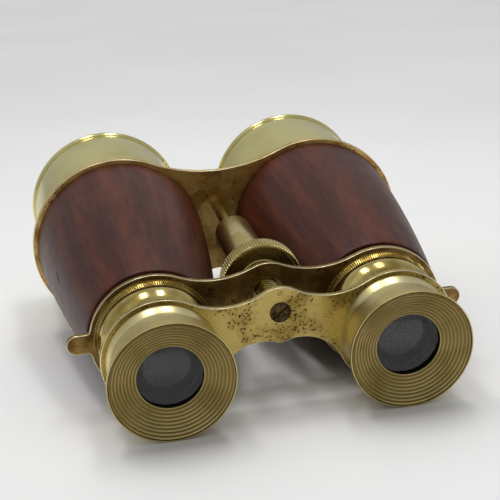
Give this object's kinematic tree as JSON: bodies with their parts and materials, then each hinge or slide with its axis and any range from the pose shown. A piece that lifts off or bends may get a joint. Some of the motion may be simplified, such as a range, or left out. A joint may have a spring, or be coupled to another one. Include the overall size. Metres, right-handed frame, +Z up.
{
  "type": "opera glasses",
  "caption": "Centre-focusing opera glasses with turned wooden barrels, aged brass fittings, a sliding eyepiece bridge and a knurled focus wheel.",
  "frame": {"origin": "middle of the footprint, on the surface that the glasses lie on", "axes": "+X across the barrels to the right as seen from the eyepieces, +Y from the eyecups towards the objectives, +Z up; the optical axes tilt with the glasses lying on their eyecup rims and objective-end plate"},
  "size_m": [0.1198, 0.1408, 0.0571],
  "materials": {
    "mahogany": "turned mahogany, satin lacquer worn along the edges",
    "cast_brass": "aged and pitted, bright worn edges",
    "turned_brass": "turned, dull golden",
    "polished_brass": "drawn and polished",
    "rolled_brass": "rolled sheet, dull",
    "blackened_brass": "blackened, matt",
    "optical_glass": "polished lens",
    "black_felt": "dense felt",
    "blued_steel": "dark, oxidised"
  },
  "bodies": {
    "root": {"left_objective_tube": "polished_brass", "left_body_tube": "rolled_brass", "left_wood_barrel": "mahogany", "left_collar": "polished_brass", "left_light_seal": "black_felt", "right_objective_tube": "polished_brass", "right_body_tube": "rolled_brass", "right_wood_barrel": "mahogany", "right_collar": "polished_brass", "right_light_seal": "black_felt", "left_objective_cell": "blackened_brass", "left_crown_lens": "optical_glass", "left_flint_lens": "optical_glass", "left_objective_ring": "blackened_brass", "right_objective_cell": "blackened_brass", "right_crown_lens": "optical_glass", "right_flint_lens": "optical_glass", "right_objective_ring": "blackened_brass", "objective_end_plate": "cast_brass", "eyepiece_end_plate": "cast_brass", "spindle": "turned_brass", "spindle_screw": "blued_steel", "spindle_nut": "turned_brass"},
    "eyepieces": {"left_draw_tube": "polished_brass", "left_draw_stop": "blackened_brass", "left_eyecup": "turned_brass", "left_eye_lens": "optical_glass", "left_eye_lens_ring": "blackened_brass", "right_draw_tube": "polished_brass", "right_draw_stop": "blackened_brass", "right_eyecup": "turned_brass", "right_eye_lens": "optical_glass", "right_eye_lens_ring": "blackened_brass", "eyepiece_bridge": "cast_brass", "focus_screw": "turned_brass", "bridge_screw": "blued_steel"},
    "focus_drive": {"focus_wheel": "turned_brass", "wheel_sleeve": "turned_brass", "thrust_washer": "turned_brass"}
  },
  "joints": [
    {"name": "focus_turn", "type": "hinge", "parent": "root", "child": "focus_drive", "pos_m": [0, -0.03272, 0.02979], "axis": [0, -0.9938, -0.1115], "range_deg": [-180, 360]},
    {"name": "bridge_slide", "type": "slide", "parent": "root", "child": "eyepieces", "axis": [0, -0.9938, -0.1115], "range_m": [-0.004, 0.008]}
  ],
  "couplings": [
    {"joint": "focus_turn", "follows": "bridge_slide", "rad_per_m": 785.4}
  ]
}
